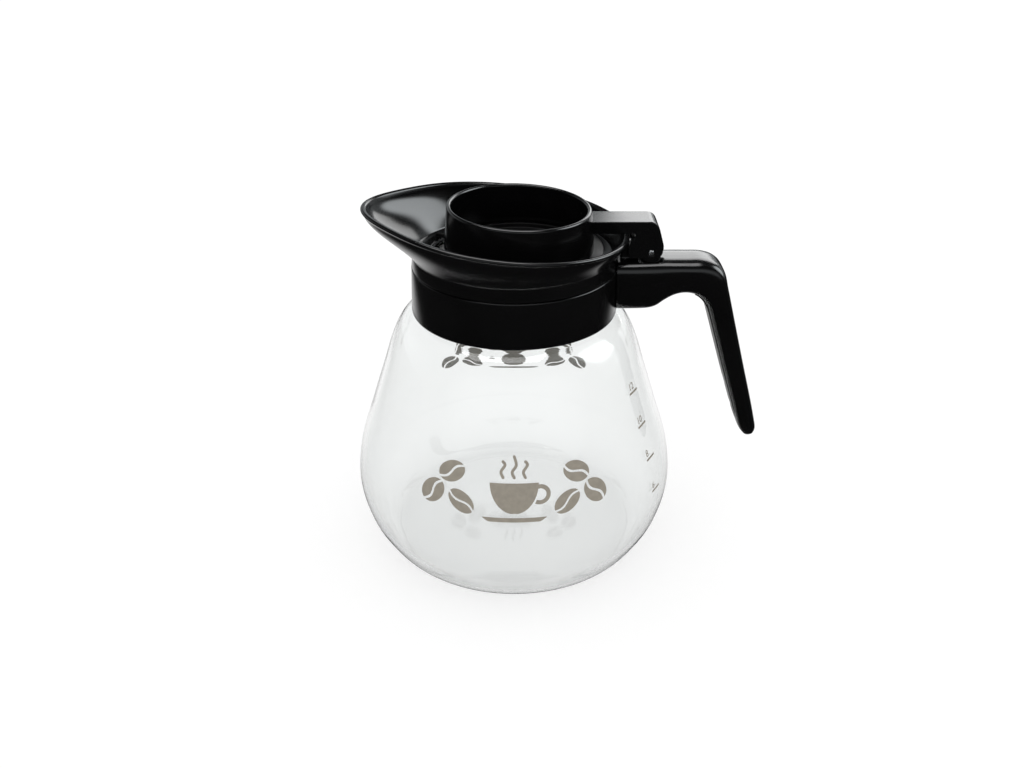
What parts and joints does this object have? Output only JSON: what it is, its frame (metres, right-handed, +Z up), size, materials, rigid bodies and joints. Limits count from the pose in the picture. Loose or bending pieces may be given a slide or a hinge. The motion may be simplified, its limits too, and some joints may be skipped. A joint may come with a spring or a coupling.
{
  "type": "glass coffee decanter",
  "caption": "Clear glass coffee decanter with a flat heating base, black plastic collar, pouring rim with beak, hinged tube lid and hollow handle.",
  "frame": {"origin": "centre of the glass base, on the surface it stands on", "axes": "+Z up, +X towards the handle, -X towards the beak, the decoration faces -Y and +Y"},
  "size_m": [0.2028, 0.16, 0.1775],
  "materials": {
    "glass": "clear blown borosilicate",
    "black_gloss": "glossy moulded",
    "black_satin": "satin moulded",
    "silicone": "smooth",
    "steel": "polished stainless",
    "enamel": "fired warm grey enamel on glass"
  },
  "bodies": {
    "body": {"glass_bowl": "glass", "neck_gasket": "silicone", "clamp_band": "steel", "band_screw": "steel", "band_washer": "steel", "band_nut": "steel", "collar": "black_gloss", "rim_seal": "silicone", "pouring_rim": "black_gloss", "handle": "black_gloss", "handle_cover": "black_satin", "cover_screws": "steel", "front_print": "enamel", "back_print": "enamel", "level_scale": "enamel"},
    "lid": {"lid_tube": "black_gloss", "drip_funnel": "black_satin", "hinge_pin": "steel"}
  },
  "joints": [
    {"name": "lid_hinge", "type": "hinge", "parent": "body", "child": "lid", "pos_m": [0.0635, 0, 0.156], "axis": [0, 1, 0], "range_deg": [0, 80]}
  ]
}
